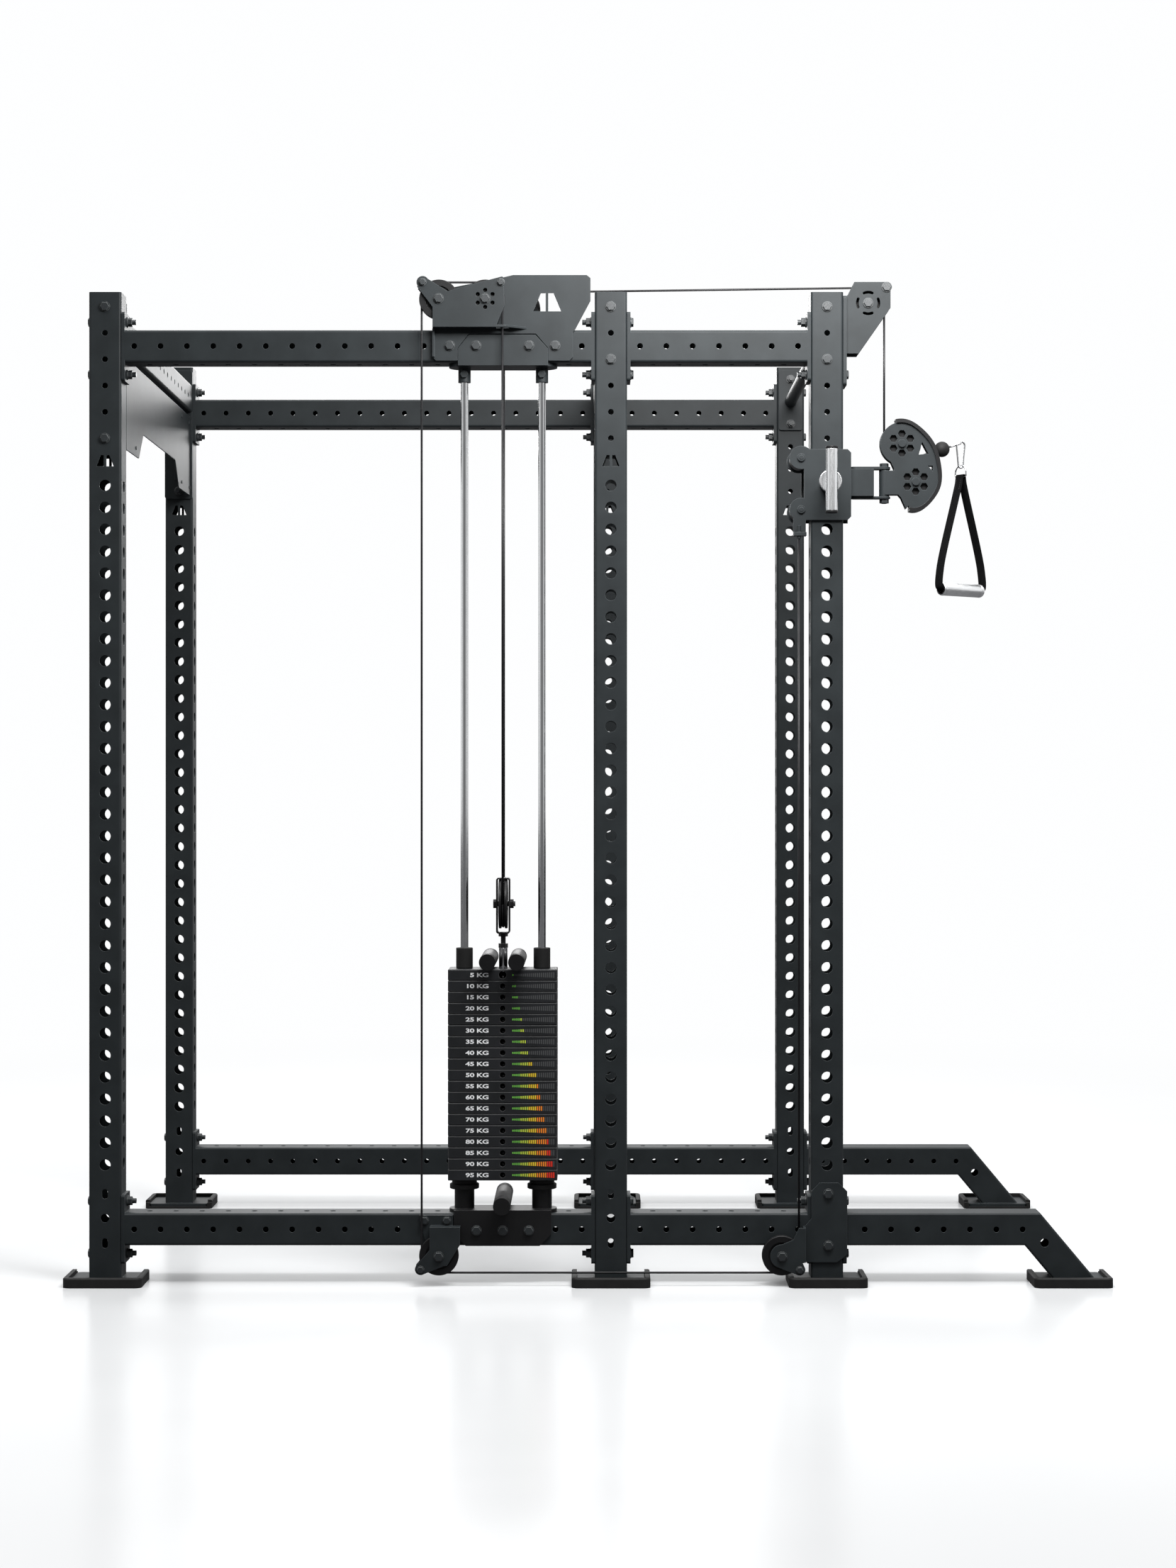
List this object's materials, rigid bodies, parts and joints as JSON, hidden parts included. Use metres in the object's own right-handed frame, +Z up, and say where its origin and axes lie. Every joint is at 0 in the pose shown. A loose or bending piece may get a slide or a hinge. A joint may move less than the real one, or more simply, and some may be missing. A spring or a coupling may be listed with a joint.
{
  "type": "power cage",
  "caption": "Free-standing power cage of square steel tube with a selector weight stack and a height-adjustable swivel cable pulley with a D-handle.",
  "frame": {"origin": "on the floor, under the middle of the whole object's bounding box", "axes": "+X towards the front, where the stabilisers and the swivel pulley are; -Y the side with the weight stack; +Z up"},
  "size_m": [2.42, 1.412, 2.338],
  "materials": {
    "frame_paint": "fine-textured matt anthracite powder coat",
    "black_parts": "satin black powder coat",
    "stack_paint": "black coated steel",
    "fastener": "black zinc",
    "chrome": "polished",
    "rubber": "matt",
    "moulded_plastic": "moulded nylon",
    "aluminium": "brushed",
    "webbing": "woven nylon webbing",
    "cable_jacket": "plastic-coated steel cable"
  },
  "bodies": {
    "frame": {"rear_upright_near": "frame_paint", "rear_upright_far": "frame_paint", "middle_upright_near": "frame_paint", "middle_upright_far": "frame_paint", "front_upright_near": "frame_paint", "front_upright_far": "frame_paint", "top_long_beams": "frame_paint", "top_short_beams": "frame_paint", "base_long_beams": "frame_paint", "base_short_beams": "frame_paint", "stabilisers": "frame_paint", "rear_crossmember": "frame_paint", "name_panel": "frame_paint", "middle_crossmember": "frame_paint", "pull_up_bar": "frame_paint", "rod_top_bracket": "frame_paint", "head_back_plate": "frame_paint", "head_front_plate": "frame_paint", "rear_head_bracket": "frame_paint", "corner_bracket": "frame_paint", "base_left_bracket": "frame_paint", "base_right_bracket": "frame_paint", "stack_base": "black_parts", "weight_plates": "stack_paint", "bolts": "fastener", "nuts": "fastener", "guide_rods": "chrome", "foot_trays": "rubber", "stack_buffers": "rubber", "cable_fixed_runs": "cable_jacket", "cable_stack_strands": "cable_jacket", "cable_drop": "cable_jacket", "cable_return": "cable_jacket"},
    "stack_head": {"top_plate": "stack_paint", "lifting_stem": "chrome", "head_bumpers": "rubber", "head_band_pegs": "moulded_plastic", "pulley_yoke": "black_parts", "cable_stack_wrap": "cable_jacket"},
    "stack_pulley": {"stack_pulley": "moulded_plastic"},
    "head_left_pulley": {"head_left_pulley": "moulded_plastic"},
    "head_centre_pulley": {"head_centre_pulley": "moulded_plastic"},
    "rear_head_pulley": {"rear_head_pulley": "moulded_plastic"},
    "corner_pulley": {"corner_pulley": "moulded_plastic"},
    "base_left_pulley": {"base_left_pulley": "moulded_plastic"},
    "base_right_pulley": {"base_right_pulley": "moulded_plastic"},
    "trolley": {"trolley_carriage": "frame_paint", "lock_spring": "chrome"},
    "roller_upper": {"trolley_roller_upper": "moulded_plastic"},
    "roller_lower": {"trolley_roller_lower": "moulded_plastic"},
    "lock_pin": {"lock_pin": "aluminium"},
    "swivel": {"swivel_head": "frame_paint", "cable_handle": "cable_jacket"},
    "swivel_pulley_upper": {"swivel_pulley_upper": "moulded_plastic"},
    "swivel_pulley_lower": {"swivel_pulley_lower": "moulded_plastic"},
    "cable_end": {"stop_ball": "rubber"},
    "handle": {"carabiner": "chrome", "handle_strap": "webbing"},
    "carabiner_gate": {"carabiner_gate": "chrome"},
    "grip": {"handle_grip": "aluminium"}
  },
  "joints": [
    {"name": "stack_lift", "type": "slide", "parent": "frame", "child": "stack_head", "axis": [0, 0, 1], "range_m": [0, 1], "deforming": ["cable_stack_strands"]},
    {"name": "stack_pulley_spin", "type": "hinge", "parent": "stack_head", "child": "stack_pulley", "pos_m": [-0.1975, -0.5345, 0.881], "axis": [1, 0, 0], "continuous": true},
    {"name": "head_left_spin", "type": "hinge", "parent": "frame", "child": "head_left_pulley", "pos_m": [-0.344, -0.594, 2.278], "axis": [0, 1, 0], "continuous": true},
    {"name": "head_centre_spin", "type": "hinge", "parent": "frame", "child": "head_centre_pulley", "pos_m": [-0.237, -0.594, 2.278], "axis": [0, 1, 0], "continuous": true},
    {"name": "rear_head_spin", "type": "hinge", "parent": "frame", "child": "rear_head_pulley", "pos_m": [-0.1575, -0.475, 2.276], "axis": [0, 1, 0], "continuous": true},
    {"name": "corner_spin", "type": "hinge", "parent": "frame", "child": "corner_pulley", "pos_m": [0.65, -0.5345, 2.276], "axis": [0, 1, 0], "continuous": true},
    {"name": "base_left_spin", "type": "hinge", "parent": "frame", "child": "base_left_pulley", "pos_m": [-0.344, -0.594, 0.072], "axis": [0, 1, 0], "continuous": true},
    {"name": "base_right_spin", "type": "hinge", "parent": "frame", "child": "base_right_pulley", "pos_m": [0.447, -0.594, 0.072], "axis": [0, 1, 0], "continuous": true},
    {"name": "trolley_slide", "type": "slide", "parent": "frame", "child": "trolley", "axis": [0, 0, 1], "range_m": [-1.4224, 0], "deforming": ["cable_drop", "cable_return"]},
    {"name": "roller_upper_spin", "type": "hinge", "parent": "trolley", "child": "roller_upper", "pos_m": [0.4934, -0.5345, 1.9157], "axis": [0, 1, 0], "continuous": true},
    {"name": "roller_lower_spin", "type": "hinge", "parent": "trolley", "child": "roller_lower", "pos_m": [0.4934, -0.5345, 1.7954], "axis": [0, 1, 0], "continuous": true},
    {"name": "lock_pin_pull", "type": "slide", "parent": "trolley", "child": "lock_pin", "axis": [0, -1, 0], "range_m": [-0.0125, 0.006], "deforming": ["lock_spring"]},
    {"name": "swivel_yaw", "type": "hinge", "parent": "trolley", "child": "swivel", "pos_m": [0.69, -0.5345, 1.86], "axis": [0, 0, 1], "range_deg": [-90, 90]},
    {"name": "swivel_upper_spin", "type": "hinge", "parent": "swivel", "child": "swivel_pulley_upper", "pos_m": [0.73, -0.5345, 1.952], "axis": [0, 1, 0], "continuous": true},
    {"name": "swivel_lower_spin", "type": "hinge", "parent": "swivel", "child": "swivel_pulley_lower", "pos_m": [0.762, -0.5345, 1.863], "axis": [0, 1, 0], "continuous": true},
    {"name": "handle_pull", "type": "slide", "parent": "swivel", "child": "cable_end", "axis": [0.9542, 0, 0.299], "range_m": [0, 2]},
    {"name": "handle_swing", "type": "hinge", "parent": "cable_end", "child": "handle", "pos_m": [0.8685, -0.5345, 1.95348], "axis": [0, -1, 0], "range_deg": [-10, 100]},
    {"name": "gate_open", "type": "hinge", "parent": "handle", "child": "carabiner_gate", "pos_m": [0.87469, -0.5345, 1.91095], "axis": [0, -1, 0], "range_deg": [0, 8], "stiffness_Nm_per_rad": 0.02},
    {"name": "grip_spin", "type": "hinge", "parent": "handle", "child": "grip", "pos_m": [0.8685, -0.5345, 1.612], "axis": [0.788, 0.6157, 0], "continuous": true}
  ],
  "couplings": [
    {"joint": "handle_pull", "follows": "stack_lift", "ratio": 2},
    {"joint": "stack_pulley_spin", "follows": "stack_lift", "rad_per_m": 18.868},
    {"joint": "rear_head_spin", "follows": "stack_lift", "rad_per_m": 50},
    {"joint": "corner_spin", "follows": "stack_lift", "rad_per_m": 50},
    {"joint": "swivel_upper_spin", "follows": "stack_lift", "rad_per_m": -50},
    {"joint": "base_right_spin", "follows": "trolley_slide", "rad_per_m": -25},
    {"joint": "base_left_spin", "follows": "trolley_slide", "rad_per_m": -25},
    {"joint": "head_left_spin", "follows": "trolley_slide", "rad_per_m": -25},
    {"joint": "head_centre_spin", "follows": "trolley_slide", "rad_per_m": -25},
    {"joint": "roller_upper_spin", "follows": "trolley_slide", "rad_per_m": 43.86},
    {"joint": "roller_lower_spin", "follows": "trolley_slide", "rad_per_m": 43.86}
  ]
}
